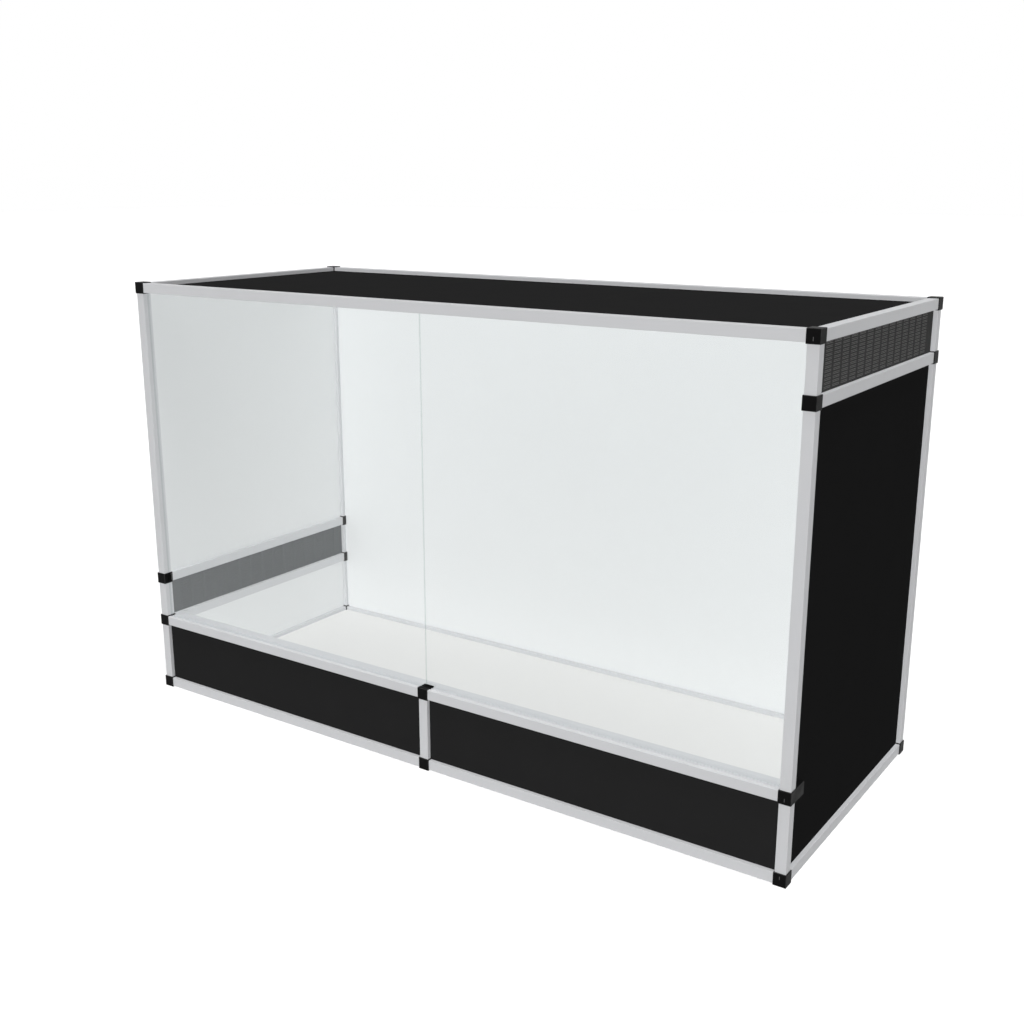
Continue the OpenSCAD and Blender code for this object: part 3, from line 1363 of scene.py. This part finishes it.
@dataclass(frozen=True)
class SoftLamp:
    """A distant soft lamp.

    Its level is the brightness of a white face that looks straight at it. It stands in
    a compass direction (0 in front, 90 at the right) and at a tilt above the horizon. A
    fill lamp casts no shadow, and glass and gloss don't mirror it.
    """

    name: str
    level: float
    compass: float
    tilt: float
    softness: float = 30.0
    fill: bool = True

    def build(self) -> None:
        """Hangs the lamp in the scene."""
        light = bpy.data.lights.new(self.name, "SUN")
        light.energy = self.level * math.pi
        light.angle = math.radians(self.softness)
        light.use_shadow = not self.fill
        lamp = bpy.data.objects.new(self.name, light)
        lamp.rotation_euler = (
            math.radians(90.0 - self.tilt),
            0.0,
            math.radians(self.compass),
        )
        lamp.visible_glossy = not self.fill
        bpy.context.scene.collection.objects.link(lamp)


@dataclass
class Studio:
    """A pale floor under an even sky, and soft lamps from above and from every side."""

    floor_reach: float = 40.0
    floor_seen: Colour = WHITE
    floor_lift: float = 0.125
    floor_bounce: float = 0.5
    sky: float = 0.05
    sky_seen: float = 1.0
    lamps: tuple[SoftLamp, ...] = (
        SoftLamp(
            "key_lamp", level=0.34, compass=45.0, tilt=77.0, softness=20.0, fill=False
        ),
        SoftLamp("front_fill", level=0.638, compass=0.0, tilt=12.0),
        SoftLamp("top_fill", level=0.25, compass=0.0, tilt=90.0),
        SoftLamp("right_fill", level=0.32, compass=90.0, tilt=12.0),
        SoftLamp("left_fill", level=0.36, compass=-90.0, tilt=12.0),
        SoftLamp("back_fill", level=0.4, compass=180.0, tilt=12.0),
    )

    def floor(self) -> None:
        """Lays the floor, which shows as white and keeps the object's soft shadow."""
        shape = bmesh.new()
        bmesh.ops.create_grid(shape, x_segments=1, y_segments=1, size=self.floor_reach)
        floor = mesh_object("studio_floor", plain_mesh("studio_floor", shape))
        material, graph = plain_graph("studio_floor")
        seen = graph.seen_share()
        colour = graph.tones(seen, (self.floor_bounce,) * 3, self.floor_seen)
        paint = graph.add("ShaderNodeBsdfDiffuse", {"Color": colour})
        lift = graph.sum("MULTIPLY", seen, self.floor_lift)
        glow = graph.add("ShaderNodeEmission", {"Strength": lift})
        both = graph.add(
            "ShaderNodeAddShader",
            {0: paint.outputs["BSDF"], 1: glow.outputs["Emission"]},
        )
        graph.surface(both.outputs["Shader"])
        floor.data.materials.append(material)

    def sky_light(self) -> None:
        """Sets the world: white where it is seen, and an even soft light elsewhere."""
        world = bpy.data.worlds.new("studio_sky")
        graph = Graph(world)
        plain, seen = (
            graph.add(
                "ShaderNodeBackground", {"Color": (*WHITE, 1.0), "Strength": level}
            ).outputs["Background"]
            for level in (self.sky, self.sky_seen)
        )
        sky = graph.blend(graph.seen_share(), plain, seen)
        graph.add("ShaderNodeOutputWorld", {"Surface": sky})
        bpy.context.scene.world = world

    def build(self) -> None:
        """Sets up the floor, the sky and the lamps."""
        self.floor()
        self.sky_light()
        for lamp in self.lamps:
            lamp.build()
        bpy.context.scene.view_settings.view_transform = "Standard"


@dataclass(frozen=True)
class Viewpoint:
    """The camera: its place, the rows of its turn, and its angle of view."""

    place: Triple = (1.41294, -2.06640, 1.13395)
    right: Triple = (0.825508, 0.56439, -0.000148)
    down: Triple = (0.146192, -0.214081, -0.965814)
    ahead: Triple = (-0.545128, 0.797266, -0.259235)
    focal_pixels: float = 1236.82
    image_pixels: float = 1024.0
    sensor: float = 36.0
    near: float = 0.05
    far: float = 200.0

    def build(self) -> None:
        """Sets up the scene's camera."""
        data = bpy.data.cameras.new("viewpoint")
        data.sensor_width = self.sensor
        data.sensor_fit = "HORIZONTAL"
        data.lens = self.sensor * self.focal_pixels / self.image_pixels
        data.clip_start, data.clip_end = self.near, self.far
        camera = bpy.data.objects.new("viewpoint", data)
        turn = Matrix(
            (self.right, shade(self.down, -1.0), shade(self.ahead, -1.0))
        ).transposed()
        camera.matrix_world = Matrix.Translation(self.place) @ turn.to_4x4()
        bpy.context.scene.collection.objects.link(camera)
        bpy.context.scene.camera = camera


def main() -> None:
    """Builds the studio and dresses the terrarium, piece by piece."""
    logging.basicConfig(level=logging.INFO, format="%(message)s")
    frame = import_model()
    nodes = frame["nodes"]
    Viewpoint().build()
    Studio().build()
    LOG.info("tubes: %d", TubeFrame(nodes).dress())
    ledge = SillLedge().build(nodes["rail_sill_left"].active_material)
    LOG.info("ledge faces: %d", len(ledge.data.polygons))
    connectors = ConnectorSet(nodes)
    LOG.info("connectors: %d", connectors.dress())
    LOG.info("gate faces: %d", len(connectors.gates().data.polygons))
    LOG.info("boards: %d", BoardSet(nodes).dress())
    for plate in VentPlates().build():
        LOG.info("%s: %d faces", plate.name, len(plate.data.polygons))
    LOG.info("glass panes: %d", len(GlassDoors().build()))


if __name__ == "__main__":
    main()
